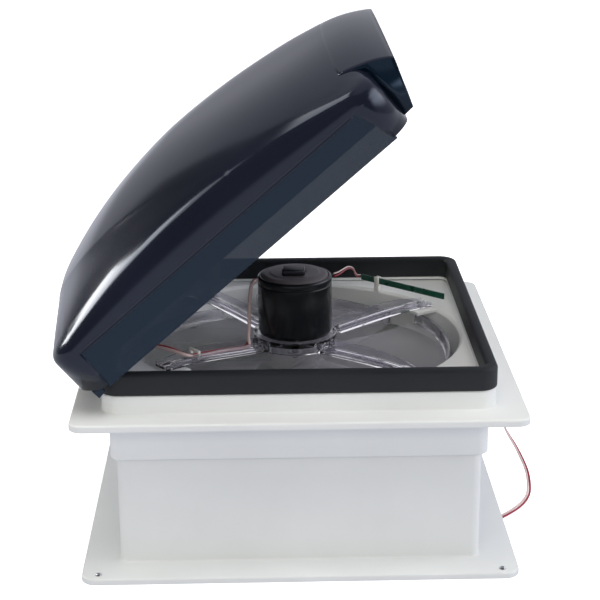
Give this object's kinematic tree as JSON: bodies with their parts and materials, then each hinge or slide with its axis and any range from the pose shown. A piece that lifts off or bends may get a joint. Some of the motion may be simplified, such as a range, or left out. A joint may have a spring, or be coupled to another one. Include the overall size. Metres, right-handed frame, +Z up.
{
  "type": "powered roof vent",
  "caption": "Square caravan roof vent with a clear fan and motor under a hinged domed lid, with roof flange, interior trim, lid drive and supply lead.",
  "frame": {"origin": "middle of the object seen from above, lid open and supply lead left out, on the plane the trim stands on", "axes": "+X from the lid's hinge to its free end, +Y to the rear, +Z up through the roof"},
  "size_m": [0.4795, 0.4212, 0.492],
  "materials": {
    "white_abs": "moulded white, light satin",
    "seal_rubber": "matt black",
    "lid_gloss": "deep glossy charcoal",
    "lid_smoke": "smoke-blue translucent",
    "lid_dark": "dark glossy",
    "clear_plastic": "clear",
    "motor_black": "black satin",
    "motor_cap": "dark grey",
    "black_plastic": "black",
    "steel": "plated",
    "zinc": "zinc plated",
    "brass": "cut",
    "board_green": "green lacquer",
    "wire_red": "dark red",
    "wire_white": "pinkish white",
    "acetal": "white",
    "grey_plastic": "grey",
    "screen_mesh": "dark woven"
  },
  "bodies": {
    "base": {"roof_flange": "white_abs", "grommet": "seal_rubber", "rim_seal": "seal_rubber", "fan_shroud": "white_abs", "fan_collar": "white_abs", "interior_trim": "white_abs", "trim_screw_1": "steel", "trim_screw_2": "steel", "trim_screw_3": "steel", "trim_screw_4": "steel", "screen_frame": "white_abs", "insect_screen": "screen_mesh", "motor_spider": "clear_plastic", "spider_screw_1": "steel", "spider_screw_2": "steel", "spider_screw_3": "steel", "spider_screw_4": "steel", "motor_screw_1": "steel", "motor_screw_2": "steel", "motor_can": "motor_black", "motor_end_cap": "motor_cap", "motor_terminal": "black_plastic", "motor_wire_red": "wire_red", "motor_wire_white": "wire_white", "wire_clip": "acetal", "motor_loom": "black_plastic", "supply_loom": "black_plastic", "sensor_board": "board_green", "board_holder": "acetal", "sensor_lead_red": "wire_red", "sensor_lead_white": "wire_white", "control_housing": "white_abs", "power_lead_red": "wire_red", "power_lead_white": "wire_white", "hinge_bracket_front": "grey_plastic", "hinge_bracket_rear": "grey_plastic", "hinge_screw_front": "steel", "hinge_screw_rear": "steel", "hinge_pin_front": "steel", "hinge_pin_rear": "steel", "lift_frame": "white_abs", "lift_motor": "motor_cap"},
    "lid": {"lid_cover": "lid_gloss", "lid_skirt": "lid_smoke", "lid_visor": "lid_dark", "hinge_leaf_front": "grey_plastic", "hinge_leaf_rear": "grey_plastic", "lift_track": "zinc"},
    "lift_arm": {"lift_lever": "zinc", "worm_wheel": "brass", "lift_pivot_pin": "steel"},
    "roller": {"track_roller": "acetal"},
    "worm": {"worm_shaft": "steel", "manual_knob": "grey_plastic"},
    "fan": {"fan_impeller": "clear_plastic", "motor_shaft": "steel", "fan_nut": "zinc"},
    "speed_knob": {"speed_knob": "grey_plastic"},
    "open_button": {"lid_open_button": "grey_plastic"},
    "close_button": {"lid_close_button": "grey_plastic"}
  },
  "joints": [
    {"name": "lid_hinge", "type": "hinge", "parent": "base", "child": "lid", "pos_m": [-0.19393, 0, 0.179], "axis": [0, -1, 0], "range_deg": [-41.2, 0]},
    {"name": "lift_lever_pivot", "type": "hinge", "parent": "base", "child": "lift_arm", "pos_m": [-0.08276, 0.1595, 0.19265], "axis": [0, -1, 0], "range_deg": [-82.4, 0]},
    {"name": "roller_spin", "type": "hinge", "parent": "lift_arm", "child": "roller", "pos_m": [-0.10106, 0.1511, 0.30314], "axis": [0, 1, 0], "continuous": true},
    {"name": "worm_spin", "type": "hinge", "parent": "base", "child": "worm", "pos_m": [-0.10026, 0.1595, 0.18], "axis": [0, 0, 1], "range_deg": [-1648, 0]},
    {"name": "fan_spin", "type": "hinge", "parent": "base", "child": "fan", "pos_m": [0.01157, 0, 0.155], "axis": [0, 0, 1], "continuous": true},
    {"name": "speed_knob_turn", "type": "hinge", "parent": "base", "child": "speed_knob", "pos_m": [-0.01243, -0.1587, 0.009], "axis": [0, 0, -1], "range_deg": [0, 270]},
    {"name": "open_button_press", "type": "slide", "parent": "base", "child": "open_button", "axis": [0, 0, 1], "range_m": [0, 0.0015], "stiffness_N_per_m": 400},
    {"name": "close_button_press", "type": "slide", "parent": "base", "child": "close_button", "axis": [0, 0, 1], "range_m": [0, 0.0015], "stiffness_N_per_m": 400}
  ],
  "couplings": [
    {"joint": "lift_lever_pivot", "follows": "lid_hinge", "ratio": 2},
    {"joint": "worm_spin", "follows": "lid_hinge", "ratio": 40}
  ]
}
